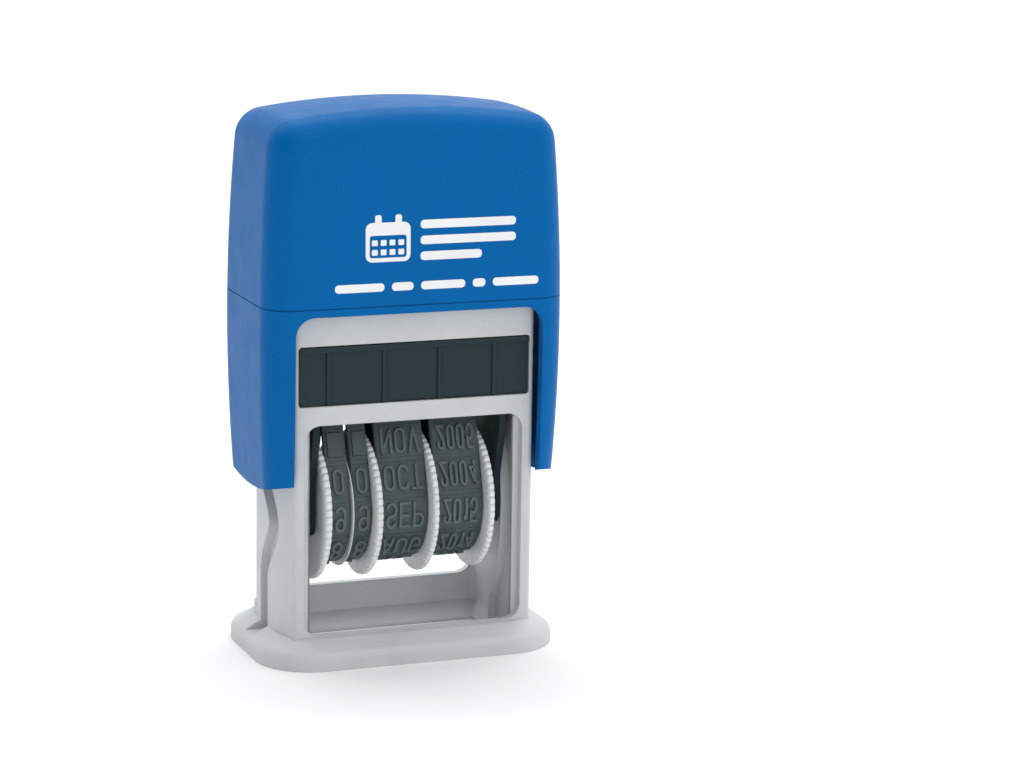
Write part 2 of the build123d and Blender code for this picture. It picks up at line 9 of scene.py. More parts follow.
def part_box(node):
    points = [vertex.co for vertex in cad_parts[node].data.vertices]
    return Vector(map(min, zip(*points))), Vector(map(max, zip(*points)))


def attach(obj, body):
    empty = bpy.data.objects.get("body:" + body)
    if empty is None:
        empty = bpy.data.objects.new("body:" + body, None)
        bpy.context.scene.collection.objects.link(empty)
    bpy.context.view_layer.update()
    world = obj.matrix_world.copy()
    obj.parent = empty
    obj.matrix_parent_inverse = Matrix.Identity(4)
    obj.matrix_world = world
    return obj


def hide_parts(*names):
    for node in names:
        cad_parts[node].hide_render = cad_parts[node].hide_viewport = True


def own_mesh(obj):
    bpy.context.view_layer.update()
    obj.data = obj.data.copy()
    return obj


# A small self-inking date stamp. Everything is in metres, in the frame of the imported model:
# +Z up, -Y the front, +X the right-hand side seen from the front.

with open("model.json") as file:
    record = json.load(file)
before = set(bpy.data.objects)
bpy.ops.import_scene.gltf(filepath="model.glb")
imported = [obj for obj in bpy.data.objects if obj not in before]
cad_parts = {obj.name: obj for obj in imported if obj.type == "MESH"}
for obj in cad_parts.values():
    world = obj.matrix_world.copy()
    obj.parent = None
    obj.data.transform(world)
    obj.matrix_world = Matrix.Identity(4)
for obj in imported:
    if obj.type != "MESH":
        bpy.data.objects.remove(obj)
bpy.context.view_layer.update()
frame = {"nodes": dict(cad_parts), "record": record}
MM = 0.001

# ---- materials ----


def node_tree(name):
    """A new material with its node tree, its Principled shader and object coordinates."""
    material = bpy.data.materials.new(name)
    material.use_nodes = True
    tree = material.node_tree
    shader = next(n for n in tree.nodes if n.type == "BSDF_PRINCIPLED")
    coordinates = tree.nodes.new("ShaderNodeTexCoord")
    return material, tree, shader, coordinates.outputs["Object"]


def noise(tree, vector, size, detail=3.0, roughness=0.55, stretch=None):
    """A noise texture whose features are about `size` metres across."""
    if stretch:
        mapping = tree.nodes.new("ShaderNodeMapping")
        mapping.inputs["Scale"].default_value = stretch
        tree.links.new(vector, mapping.inputs["Vector"])
        vector = mapping.outputs["Vector"]
    texture = tree.nodes.new("ShaderNodeTexNoise")
    texture.inputs["Scale"].default_value = 1.0 / size
    texture.inputs["Detail"].default_value = detail
    texture.inputs["Roughness"].default_value = roughness
    tree.links.new(vector, texture.inputs["Vector"])
    return texture.outputs["Fac"]


def between(tree, value, low, high, start=0.3, end=0.7):
    """Maps a noise value to a range."""
    node = tree.nodes.new("ShaderNodeMapRange")
    node.inputs["From Min"].default_value = start
    node.inputs["From Max"].default_value = end
    node.inputs["To Min"].default_value = low
    node.inputs["To Max"].default_value = high
    tree.links.new(value, node.inputs["Value"])
    return node.outputs["Result"]


def ramp(tree, value, stops):
    """A colour ramp given as (place, linear colour) pairs."""
    node = tree.nodes.new("ShaderNodeValToRGB")
    elements = node.color_ramp.elements
    while len(elements) < len(stops):
        elements.new(0.5)
    for element, (place, colour) in zip(elements, stops):
        element.position = place
        element.color = (*colour, 1.0)
    tree.links.new(value, node.inputs["Fac"])
    return node.outputs["Color"]


def bump(tree, value, height, strength, normal=None):
    """A bump of `height` metres, on top of an earlier normal."""
    node = tree.nodes.new("ShaderNodeBump")
    node.inputs["Distance"].default_value = height
    node.inputs["Strength"].default_value = strength
    tree.links.new(value, node.inputs["Height"])
    if normal:
        tree.links.new(normal, node.inputs["Normal"])
    return node.outputs["Normal"]


def shaded(colour, share):
    """A share of a linear colour."""
    return tuple(c * share for c in colour)


def moulded_plastic(name, colour, roughness, edge=0.0, specular=None):
    """Moulded plastic: faint cloudiness, a fine spark-eroded grain, uneven gloss and soft edges."""
    material, tree, shader, place = node_tree(name)
    cloud = noise(tree, place, size=0.006, detail=4.0)
    speck = noise(tree, place, size=0.0006, detail=2.0)
    tint = ramp(tree, cloud, [(0.3, shaded(colour, 0.955)), (0.7, shaded(colour, 1.035))])
    fleck = ramp(tree, speck, [(0.3, (0.98, 0.98, 0.98)), (0.7, (1.0, 1.0, 1.0))])
    mix = tree.nodes.new("ShaderNodeMix")
    mix.data_type = "RGBA"
    mix.blend_type = "MULTIPLY"
    mix.inputs[0].default_value = 1.0
    tree.links.new(tint, mix.inputs[6])
    tree.links.new(fleck, mix.inputs[7])
    tree.links.new(mix.outputs[2], shader.inputs["Base Color"])
    patches = noise(tree, place, size=0.0035)
    gloss = between(tree, patches, low=roughness * 0.88, high=roughness * 1.12)
    tree.links.new(gloss, shader.inputs["Roughness"])
    normal = None
    if edge:
        bevel = tree.nodes.new("ShaderNodeBevel")
        bevel.samples = 4
        bevel.inputs["Radius"].default_value = edge
        normal = bevel.outputs["Normal"]
    grain = noise(tree, place, size=0.00016, detail=2.0)
    normal = bump(tree, grain, height=0.000004, strength=0.6, normal=normal)
    waves = noise(tree, place, size=0.009, detail=1.0)
    normal = bump(tree, waves, height=0.00004, strength=0.25, normal=normal)
    tree.links.new(normal, shader.inputs["Normal"])
    if specular is not None:
        shader.inputs["Specular IOR Level"].default_value = specular
    return material


def rubber(name, colour):
    """Moulded rubber: matt, with a dusty bloom and a fine uneven skin."""
    material, tree, shader, place = node_tree(name)
    bloom = noise(tree, place, size=0.0016, detail=5.0, roughness=0.65)
    tint = ramp(tree, bloom, [(0.3, shaded(colour, 0.84)), (0.72, shaded(colour, 1.24))])
    tree.links.new(tint, shader.inputs["Base Color"])
    tree.links.new(between(tree, bloom, low=0.46, high=0.62), shader.inputs["Roughness"])
    skin = noise(tree, place, size=0.00022, detail=3.0)
    tree.links.new(bump(tree, skin, height=0.000012, strength=0.6), shader.inputs["Normal"])
    shader.inputs["Specular IOR Level"].default_value = 0.5
    return material


def felt(name, colour):
    """Felt soaked in ink: matted fibres with a wet sheen here and there."""
    material, tree, shader, place = node_tree(name)
    mat = noise(tree, place, size=0.0005, detail=6.0, roughness=0.7, stretch=(1.0, 0.35, 1.0))
    tint = ramp(tree, mat, [(0.3, shaded(colour, 0.5)), (0.75, shaded(colour, 2.4))])
    tree.links.new(tint, shader.inputs["Base Color"])
    wetness = noise(tree, place, size=0.002)
    tree.links.new(between(tree, wetness, low=0.5, high=0.95), shader.inputs["Roughness"])
    fibres = noise(tree, place, size=0.00018, detail=4.0, stretch=(1.0, 0.25, 1.0))
    tree.links.new(bump(tree, fibres, height=0.00008, strength=0.9), shader.inputs["Normal"])
    shader.inputs["Sheen Weight"].default_value = 0.3
    shader.inputs["Sheen Roughness"].default_value = 0.5
    return material


def steel(name, colour, roughness, stretch=None):
    """Drawn or ground steel: fine scratches along or round the rod."""
    material, tree, shader, place = node_tree(name)
    drawn = noise(tree, place, size=0.0004, detail=5.0, stretch=stretch)
    tint = ramp(tree, drawn, [(0.3, shaded(colour, 0.82)), (0.7, colour)])
    tree.links.new(tint, shader.inputs["Base Color"])
    gloss = between(tree, drawn, low=roughness * 0.75, high=roughness * 1.3)
    tree.links.new(gloss, shader.inputs["Roughness"])
    tree.links.new(bump(tree, drawn, height=0.000004, strength=0.5), shader.inputs["Normal"])
    shader.inputs["Metallic"].default_value = 1.0
    return material


CAP_BLUE = (0.0, 0.128, 0.405)
GREY = (0.6, 0.625, 0.635)
DARK = (0.012, 0.026, 0.03)
TRAY = (0.013, 0.03, 0.036)
WHEEL_GREY = (0.8, 0.82, 0.82)
BAND_RUBBER = (0.05, 0.073, 0.079)
# Painted highlight: the raised type's rubber is lighter than the band rubber it is moulded with,
# standing in for light caught on the letters' edges.
HIGHLIGHTED_TYPE_RUBBER = (0.088, 0.115, 0.12)
INK = (0.006, 0.006, 0.009)
SPRING_STEEL = (0.62, 0.62, 0.61)
AXLE_STEEL = (0.6, 0.6, 0.6)
WHITE_PRINT = (0.9, 0.91, 0.92)

finishes = {
    "cap_plastic": moulded_plastic(
        "cap_blue_plastic", CAP_BLUE, roughness=0.38, edge=0.00012, specular=0.06
    ),
    "frame_plastic": moulded_plastic(
        "frame_grey_plastic", GREY, roughness=0.5, edge=0.00022, specular=0.35
    ),
    "dark_plastic": moulded_plastic(
        "dark_grey_plastic", DARK, roughness=0.6, edge=0.0001, specular=0.2
    ),
    "tray_plastic": moulded_plastic(
        "cartridge_plastic", TRAY, roughness=0.42, edge=0.00008, specular=0.22
    ),
    "wheel_plastic": moulded_plastic("wheel_grey_plastic", WHEEL_GREY, roughness=0.42),
    "band_rubber": rubber("band_rubber", BAND_RUBBER),
    "ink_felt": felt("inked_felt", INK),
    "spring_steel": steel("spring_steel", SPRING_STEEL, roughness=0.3),
    "axle_steel": steel("axle_steel", AXLE_STEEL, roughness=0.25, stretch=(0.1, 1.0, 1.0)),
}
highlighted_type_rubber = rubber("highlighted_type_rubber", HIGHLIGHTED_TYPE_RUBBER)
print_ink = moulded_plastic("white_print", WHITE_PRINT, roughness=0.45)

slot_of = {row["node"]: row["material_slot"] for row in frame["record"]["subparts"]}
for node, piece in frame["nodes"].items():
    for material_slot in piece.material_slots:
        material_slot.material = finishes[slot_of[node]]

# ---- mesh helpers ----


def new_piece(name, points, faces, body, slot, smooth_angle=None):
    """A mesh object that rides on a body and takes the finish of a material slot."""
    mesh = bpy.data.meshes.new(name)
    mesh.from_pydata([tuple(p) for p in points], [], faces)
    mesh.validate()
    mesh.update()
    piece = bpy.data.objects.new(name, mesh)
    bpy.context.scene.collection.objects.link(piece)
    if smooth_angle is not None:
        mesh.shade_smooth()
        mesh.set_sharp_from_angle(angle=math.radians(smooth_angle))
    if slot:
        mesh.materials.append(finishes[slot])
    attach(piece, body)
    return piece


def ring_faces(rows, columns, close_rows=True):
    """Quads of a grid whose columns run round; its rows close on themselves unless told not to."""
    faces = []
    for i in range(rows if close_rows else rows - 1):
        j = (i + 1) % rows
        for k in range(columns):
            m = (k + 1) % columns
            faces.append((i * columns + k, i * columns + m, j * columns + m, j * columns + k))
    return faces


# ---- setting wheels ----
WHEEL_NAMES = ("day_tens", "day_units", "month", "year")
# The toothed disc's width, in millimetres; the rest of a wheel is its drum.
DISC_WIDTH = {"day_tens": 0.95, "day_units": 0.95, "month": 0.9, "year": 0.95}
DRUM_RADIUS = 7.15 * MM
BORE_RADIUS = 1.3 * MM
HUB_RADIUS = 2.6 * MM
TEETH = 62
TOOTH_HEIGHT = 0.42 * MM
TOOTH_WAIST = 0.2 * MM
TOOTH_STEPS = 10
# A tooth's rounded edge: how far in from the disc's face and below the tooth's root each row
# lies, in millimetres, and how much of the tooth's height shows there.
TOOTH_EDGE = ((0.02, 0.03, 0.25), (0.1, 0.0, 0.7), (0.24, 0.0, 1))
# The disc's face is sunk between its hub and its rim. The recess's outer edge and the rim's
# two edges are measured down from the teeth's root.
FACE_RECESS = 0.15 * MM
RECESS_OUTER = 1.3 * MM
RIM_INNER = 1.15 * MM
RIM_OUTER = 0.12 * MM
WAIST_REACH = 0.1 * MM
DRUM_CHAMFER = 0.1 * MM


def make_wheel(name):
    """A drum and a disc with bead-like teeth on its rim, turned as one closed profile."""
    low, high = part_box(name + "_wheel")
    middle_z = (low[2] + high[2]) / 2
    radius = (high[2] - low[2]) / 2
    disc = DISC_WIDTH[name] * MM
    on_left = name == "day_tens"
    if on_left:
        face_x, inner_x, end_x, inward = low[0], low[0] + disc, high[0], 1
    else:
        face_x, inner_x, end_x, inward = high[0], high[0] - disc, low[0], -1
    root = radius - TOOTH_HEIGHT

    def tooth_edge(x, side):
        return [
            (x + side * inset * MM, root - drop * MM, shown) for inset, drop, shown in TOOTH_EDGE
        ]

    # Rows of the profile: x, radius, and how much of the tooth's height shows in that row.
    profile = [
        (face_x, BORE_RADIUS, 0),
        (face_x, HUB_RADIUS, 0),
        (face_x + inward * FACE_RECESS, HUB_RADIUS + FACE_RECESS, 0),
        (face_x + inward * FACE_RECESS, root - RECESS_OUTER, 0),
        (face_x, root - RIM_INNER, 0),
        (face_x, root - RIM_OUTER, 0),
        *tooth_edge(face_x, inward),
        *reversed(tooth_edge(inner_x, -inward)),
        (inner_x, root - RIM_OUTER, 0),
        (inner_x, DRUM_RADIUS, 0),
        (end_x - inward * DRUM_CHAMFER, DRUM_RADIUS, 0),
        (end_x, DRUM_RADIUS - DRUM_CHAMFER, 0),
        (end_x, BORE_RADIUS, 0),
    ]
    columns = TEETH * TOOTH_STEPS
    points = []
    for x, r, share in profile:
        for k in range(columns):
            angle = 2 * math.pi * k / columns
            along = (k % TOOTH_STEPS) / TOOTH_STEPS * 2 - 1
            lobe = math.sqrt(max(0.0, 1 - along * along))
            reach = r + TOOTH_HEIGHT * share * lobe
            to_middle = 1 if x < (face_x + inner_x) / 2 else -1
            near_root = r > root - WAIST_REACH
            waist = TOOTH_WAIST * (1 - lobe) * (1 - share) if near_root else 0.0
            y, z = reach * math.sin(angle), middle_z + reach * math.cos(angle)
            points.append((x + to_middle * waist, y, z))
    faces = ring_faces(len(profile), columns)
    piece = new_piece(name + "_toothed_wheel", points, faces, name, "wheel_plastic", 40)
    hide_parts(name + "_wheel")


# ---- date bands ----
BELT_THICKNESS = 0.66 * MM
TYPE_HEIGHT = 0.45 * MM
BLOCK_HEIGHT = 0.08 * MM
BAR_HALF = 2.95 * MM
BAR_CORNER = 1.05 * MM
BELT_EDGE = 0.1 * MM
BELT_COLUMNS = 220
ROWS = 13
SIDE_ROWS = 6
FRONT_PITCH = 5.0 * MM
LETTER_HEIGHT = 3.42 * MM

wheel_low, wheel_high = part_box("month_wheel")
band_low, band_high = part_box("month_band")
WHEEL_Z = (wheel_low[2] + wheel_high[2]) / 2
PRINT_FACE = band_high[2]
LOOP_RADIUS = (WHEEL_Z - band_low[2]) - BELT_THICKNESS - TYPE_HEIGHT


class Loop:
    """The belt's path round a drum and over the bar, measured along the belt's outer skin."""

    def __init__(self):
        self.corner_y = BAR_HALF - BAR_CORNER
        self.corner_z = PRINT_FACE - TYPE_HEIGHT - BELT_THICKNESS - BAR_CORNER
        across, rise = self.corner_y, self.corner_z - WHEEL_Z
        gap = math.hypot(across, rise)
        self.lean = math.atan2(across, rise) + math.acos((LOOP_RADIUS - BAR_CORNER) / gap)
        self.big = LOOP_RADIUS + BELT_THICKNESS
        self.small = BAR_CORNER + BELT_THICKNESS
        self.arc = self.big * (math.pi - self.lean)
        self.straight = math.sqrt(gap**2 - (LOOP_RADIUS - BAR_CORNER) ** 2)
        self.bend = self.small * self.lean
        self.half = self.arc + self.straight + self.bend + self.corner_y
        self.length = 2 * self.half

    def at(self, s, h):
        """The point h above the belt's outer skin, s along it from the bottom up the front."""
        s %= self.length
        rear = s > self.half
        if rear:
            s = self.length - s
        if s < self.arc:
            angle = math.pi - s / self.big
            y, z = 0.0, WHEEL_Z
            reach = self.big + h
        elif s < self.arc + self.straight:
            share = (s - self.arc) / self.straight
            angle = self.lean
            reach = h
            y = (self.big * math.sin(angle)) * (1 - share)
            y += (self.corner_y + self.small * math.sin(angle)) * share
            z = (WHEEL_Z + self.big * math.cos(angle)) * (1 - share)
            z += (self.corner_z + self.small * math.cos(angle)) * share
        elif s < self.arc + self.straight + self.bend:
            angle = self.lean - (s - self.arc - self.straight) / self.small
            y, z = self.corner_y, self.corner_z
            reach = self.small + h
        else:
            angle = 0.0
            y, z = self.half - s, self.corner_z + self.small
            reach = h
        y += reach * math.sin(angle)
        z += reach * math.cos(angle)
        return (y if rear else -y), z


loop = Loop()


def row_centres():
    """Where each row of type sits: one at the bar's middle, the rest down the front and back."""
    front = [loop.half - k * FRONT_PITCH for k in range(SIDE_ROWS + 1)]
    rear_pitch = (loop.length - SIDE_ROWS * FRONT_PITCH) / (ROWS - SIDE_ROWS)
    rear = [loop.half + k * rear_pitch for k in range(1, SIDE_ROWS + 1)]
    return front, rear


def belt_mesh(x_low, x_high):
    """The plain belt, with slightly rounded outer edges."""
    edge = BELT_EDGE
    rows = [
        (x_low, -BELT_THICKNESS),
        (x_low, -edge),
        (x_low + edge * 0.3, -edge * 0.3),
        (x_low + edge, 0.0),
        (x_high - edge, 0.0),
        (x_high - edge * 0.3, -edge * 0.3),
        (x_high, -edge),
        (x_high, -BELT_THICKNESS),
    ]
    points = []
    for x, h in rows:
        for k in range(BELT_COLUMNS):
            points.append((x, *loop.at(loop.length * k / BELT_COLUMNS, h)))
    return points, ring_faces(len(rows), BELT_COLUMNS)


def block_mesh(x_low, x_high, s_middle, half, foot, top, slope, steps):
    """A raised block with chamfered sides that follows the belt from `foot` up to `top`."""
    points, faces = [], []
    for k in range(steps + 1):
        share = 2 * k / steps - 1
        outer = s_middle + half * share
        inner = s_middle + (half - slope) * share
        points.append((x_low, *loop.at(outer, foot)))
        points.append((x_low + slope, *loop.at(inner, top)))
        points.append((x_high - slope, *loop.at(inner, top)))
        points.append((x_high, *loop.at(outer, foot)))
    for k in range(steps):
        a, b = 4 * k, 4 * (k + 1)
        for i in range(3):
            faces.append((a + i, a + i + 1, b + i + 1, b + i))
        faces.append((a + 3, a, b, b + 3))
    last = 4 * steps
    faces += [(3, 2, 1, 0), (last, last + 1, last + 2, last + 3)]
    return points, faces


def row_block(low_x, high_x, middle):
    """The low block that one row of type stands on, let into the belt."""
    inset = 0.12 * MM
    return block_mesh(
        low_x + inset, high_x - inset, middle,
        half=2.2 * MM, foot=-0.05 * MM, top=BLOCK_HEIGHT, slope=0.06 * MM, steps=14,
    )


def blank_block(low_x, high_x, middle):
    """A blank raised block, where the band prints nothing."""
    inset = 0.35 * MM
    return block_mesh(
        low_x + inset, high_x - inset, middle,
        half=LETTER_HEIGHT / 2, foot=BLOCK_HEIGHT * 0.6, top=TYPE_HEIGHT * 0.75,
        slope=0.1 * MM, steps=10,
    )


def arc(cx, cy, rx, ry, start, end, steps=10):
    """Points along an arc, by its centre, radii and angles in degrees."""
    turn = [math.radians(start + (end - start) * k / steps) for k in range(steps + 1)]
    return [(cx + rx * math.cos(t), cy + ry * math.sin(t)) for t in turn]


GRID_WIDE = 4
GRID_TALL = 8
# The letters whose strokes span another width of the grid, and how wide they print.
GLYPH_SPAN = {"M": 4.6, "1": 2.6}
GLYPH_WIDTH = {"M": 4.6 / 4, "1": 0.62}
RING = arc(2, 6, 2, 2, 180, 0) + arc(2, 2, 2, 2, 0, -180) + [(0, 6)]
UPPER_BOWL = [(0, 0), (0, 8), (2, 8)] + arc(2, 5.9, 2, 2.1, 90, -90) + [(0, 3.8)]
# The strokes of each letter, as lines of points on a grid 4 wide and 8 high.
GLYPHS = {
    "0": [RING],
    "1": [[(0.7, 6.2), (2.3, 8), (2.3, 0)]],
    "2": [arc(2, 6, 2, 2, 180, -20) + [(0, 0), (4, 0)]],
    "3": [arc(2, 6.05, 1.9, 1.95, 170, -90) + arc(2, 2.05, 2, 2.05, 90, -170)],
    "4": [[(3.1, 0), (3.1, 8), (0, 2.2), (4.2, 2.2)]],
    "5": [[(3.7, 8), (0.5, 8), (0.2, 4.4)] + arc(2, 2.5, 2, 2.5, 120, -160)],
    "6": [arc(2, 6, 2, 2, 30, 180) + arc(2, 2.1, 2, 2.1, 180, -180, 16)],
    "7": [[(0, 8), (4, 8), (1.2, 0)]],
    "8": [arc(2, 6.05, 1.75, 1.95, 270, -90, 16), arc(2, 2.05, 2, 2.05, 90, -270, 16)],
    "9": [arc(2, 2, 2, 2, -150, 0) + arc(2, 5.9, 2, 2.1, 0, 360, 16)],
    "A": [[(0, 0), (2, 8), (4, 0)], [(0.7, 2.6), (3.3, 2.6)]],
    "B": [
        [(0, 4.2), (2, 4.2)]
        + arc(2, 2.1, 2, 2.1, 90, -90)
        + [(0, 0), (0, 8), (2, 8)]
        + arc(2, 6.1, 1.8, 1.9, 90, -90)
    ],
    "C": [arc(2.1, 5.8, 2, 2.2, 15, 180) + arc(2.1, 2.2, 2, 2.2, 180, 345)],
    "D": [
        [(0, 0), (0, 8), (1.6, 8)]
        + arc(1.6, 5.6, 2.4, 2.4, 90, 0)
        + arc(1.6, 2.4, 2.4, 2.4, 0, -90)
        + [(0, 0)]
    ],
    "E": [[(3.8, 8), (0, 8), (0, 0), (3.8, 0)], [(0, 4.2), (3.3, 4.2)]],
    "F": [[(3.8, 8), (0, 8), (0, 0)], [(0, 4.2), (3.3, 4.2)]],
    "G": [
        arc(2.1, 5.8, 2, 2.2, 15, 180)
        + arc(2.1, 2.2, 2, 2.2, 180, 360)
        + [(4.1, 3.8), (2.4, 3.8)]
    ],
    "J": [[(3.6, 8), (3.6, 2)] + arc(1.8, 2, 1.8, 2, 0, -180)],
    "L": [[(0, 8), (0, 0), (3.6, 0)]],
    "M": [[(0, 0), (0, 8), (2.3, 2.6), (4.6, 8), (4.6, 0)]],
    "N": [[(0, 0), (0, 8), (4, 0), (4, 8)]],
    "O": [RING],
    "P": [UPPER_BOWL],
    "R": [UPPER_BOWL, [(2.1, 3.8), (4, 0)]],
    "S": [arc(2, 6.05, 1.9, 1.95, 20, 250, 14) + arc(2, 2.1, 2, 2.1, 75, -160, 14)],
    "T": [[(0, 8), (4, 8)], [(2, 8), (2, 0)]],
    "U": [[(0, 8), (0, 2)] + arc(2, 2, 2, 2, 180, 360) + [(4, 8)]],
    "V": [[(0, 8), (2, 0), (4, 8)]],
    "Y": [[(0, 8), (2, 4), (4, 8)], [(2, 4), (2, 0)]],
}


def resample(line, step):
    """The same line with no run longer than `step`."""
    out = [line[0]]
    for (ax, ay), (bx, by) in zip(line, line[1:]):
        across, rise = bx - ax, by - ay
        count = max(1, math.ceil(math.hypot(across, rise) / step))
        out += [(ax + across * k / count, ay + rise * k / count) for k in range(1, count + 1)]
    return out


HALF_STROKE = 0.165 * MM
STROKE_STEP = 0.45 * MM
STROKE_SINK = 0.04 * MM
STROKE_FLARE = 1.35
SHARP_BEND = 0.35
LEAST_MITRE = 0.55


def stroke_mesh(line, half, bottom, top):
    """A raised stroke along a line: a flat top, sloping sides and mitred bends, in (x, s, h)."""
    closed = math.dist(line[0], line[-1]) < 1e-9
    if closed:
        line = line[:-1]
    count = len(line)
    points = []
    base_half = half * STROKE_FLARE
    for k, (x, y) in enumerate(line):
        before = line[k - 1] if closed or k else line[0]
        after = line[(k + 1) % count] if closed or k < count - 1 else line[-1]
        first = Vector((x - before[0], y - before[1]))
        second = Vector((after[0] - x, after[1] - y))
        if first.length < 1e-9:
            first = second
        if second.length < 1e-9:
            second = first
        first.normalize()
        second.normalize()
        along = first + second
        if along.length < SHARP_BEND:
            along = first + second * 0.4
        along.normalize()
        side = Vector((-along.y, along.x))
        widen = 1.0 / max(LEAST_MITRE, side.dot(Vector((-first.y, first.x))))
        extend = 0.0
        if not closed and k in (0, count - 1):
            extend = half if k else -half
        section = ((-base_half, bottom), (-half, top), (half, top), (base_half, bottom))
        for offset, height in section:
            px = x + side.x * offset * widen + along.x * extend
            py = y + side.y * offset * widen + along.y * extend
            points.append((px, py, height))
    faces = []
    runs = count if closed else count - 1
    for k in range(runs):
        a, b = 4 * k, 4 * ((k + 1) % count)
        for i in range(4):
            j = (i + 1) % 4
            faces.append((a + i, b + i, b + j, a + j))
    if not closed:
        last = 4 * (count - 1)
        faces += [(0, 1, 2, 3), (last + 3, last + 2, last + 1, last)]
    return points, faces


def type_mesh(text, x_low, x_high, s_middle, width, gap):
    """A word in raised type. It prints the right way round, so it stands mirrored on the band."""
    widths = [width * GLYPH_WIDTH.get(letter, 1) for letter in text]
    total = sum(widths) + gap * (len(text) - 1)
    x = (x_low + x_high) / 2 - total / 2
    points, faces = [], []
    tall = (LETTER_HEIGHT - 2 * HALF_STROKE) / GRID_TALL
    for letter, wide in zip(text, widths):
        scale = (wide - 2 * HALF_STROKE) / GLYPH_SPAN.get(letter, GRID_WIDE)
        for line in GLYPHS[letter]:
            flat = [(x + HALF_STROKE + px * scale, HALF_STROKE + py * tall) for px, py in line]
            flat = resample(flat, STROKE_STEP)
            got, quads = stroke_mesh(flat, HALF_STROKE, BLOCK_HEIGHT - STROKE_SINK, TYPE_HEIGHT)
            base = len(points)
            for px, py, h in got:
                s = s_middle + LETTER_HEIGHT / 2 - py
                points.append((px, *loop.at(s, h)))
            faces += [tuple(base + i for i in quad) for quad in quads]
        x += wide + gap
    return points, faces


DIGITS = (["1", "", "", "0", "9", "8", "7"], ["2", "3", "", "4", "5", "6"])
# The rows from the middle of the bar down the front to the bottom, then down the back.
TEXTS = {
    "day_tens": DIGITS,
    "day_units": DIGITS,
    "month": (
        ["", "DEC", "NOV", "OCT", "SEP", "AUG", "JUL"],
        ["JAN", "FEB", "MAR", "APR", "MAY", "JUN"],
    ),
    "year": (
        ["2007", "2006", "2005", "2004", "2015", "2014", "2013"],
        ["2008", "2009", "", "2010", "2011", "2012"],
    ),
}
# Both in millimetres.
LETTER_WIDTH = {"day_tens": 1.5, "day_units": 1.55, "month": 1.58, "year": 1.12}
LETTER_GAP = {"day_tens": 0.3, "day_units": 0.3, "month": 0.36, "year": 0.28}


def make_band(name):
    """A rubber band with its rows of raised type, as one piece made of closed shells."""
    low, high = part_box(name + "_band")
    points, faces = belt_mesh(low[0], high[0])
    width, gap = LETTER_WIDTH[name] * MM, LETTER_GAP[name] * MM
    front, rear = row_centres()
    rows = list(zip(front, TEXTS[name][0])) + list(zip(rear, TEXTS[name][1]))
    lettered = set()
    for middle, text in rows:
        parts = [row_block(low[0], high[0], middle)]
        if text:
            parts.append(type_mesh(text, low[0], high[0], middle, width, gap))
        elif name.startswith("day"):
            parts.append(blank_block(low[0], high[0], middle))
        for got, quads in parts:
            base = len(points)
            points += got
            if text and got is parts[-1][0]:
                lettered.update(range(len(faces), len(faces) + len(quads)))
            faces += [tuple(base + i for i in quad) for quad in quads]
    piece = new_piece(name + "_type_band", points, faces, "block", "band_rubber", 28)
    # The letters take the lighter rubber: a painted highlight on the raised type.
    piece.data.materials.append(highlighted_type_rubber)
    for index in lettered:
        piece.data.polygons[index].material_index = 1
    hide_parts(name + "_band")


for wheel_name in WHEEL_NAMES:
    make_wheel(wheel_name)
    make_band(wheel_name)

# ---- return spring ----
SPRING_WIRE = 0.4 * MM
SPRING_TURNS = 4.0
END_TURNS = 0.9


def make_spring():
    """The coil between the frame's roof and the yoke; its end turns lie flat."""
    low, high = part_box("return_spring")
    centre_x, centre_y = (low[0] + high[0]) / 2, (low[1] + high[1]) / 2
    radius = (high[0] - low[0]) / 2 - SPRING_WIRE
    bottom, top = low[2] + SPRING_WIRE, high[2] - SPRING_WIRE
    rows, columns = 360, 12
    dead = END_TURNS / (SPRING_TURNS + 1)
    centres = []
    for k in range(rows):
        share = k / (rows - 1)
        angle = 2 * math.pi * (SPRING_TURNS + 1) * share
        lift = min(1.0, max(0.0, (share - dead) / (1 - 2 * dead)))
        lift = lift * lift * (3 - 2 * lift) * 0.25 + lift * 0.75
        flat = 0.6 * SPRING_WIRE
        rise = flat * min(1.0, share / dead) + flat * max(0.0, (share - 1 + dead) / dead)
        z = bottom + rise + (top - bottom - 2 * flat) * lift
        x, y = centre_x + radius * math.cos(angle), centre_y + radius * math.sin(angle)
        centres.append(Vector((x, y, z)))
    points = []
    for k, centre in enumerate(centres):
        along = (centres[min(k + 1, rows - 1)] - centres[max(k - 1, 0)]).normalized()
        out = Vector((centre.x - centre_x, centre.y - centre_y, 0)).normalized()
        up = along.cross(out).normalized()
        for j in range(columns):
            turn = 2 * math.pi * j / columns
            points.append(centre + (out * math.cos(turn) + up * math.sin(turn)) * SPRING_WIRE)
    faces = ring_faces(rows, columns, close_rows=False)
    faces.append(tuple(range(columns - 1, -1, -1)))
    faces.append(tuple((rows - 1) * columns + j for j in range(columns)))
    piece = new_piece("coil_spring", points, faces, "frame", "spring_steel", 60)
    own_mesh(piece)
    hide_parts("return_spring")


make_spring()

# ---- ink pad ----
PAD_EDGE = 0.5 * MM
FELT_ROUGHNESS = 0.022 * MM


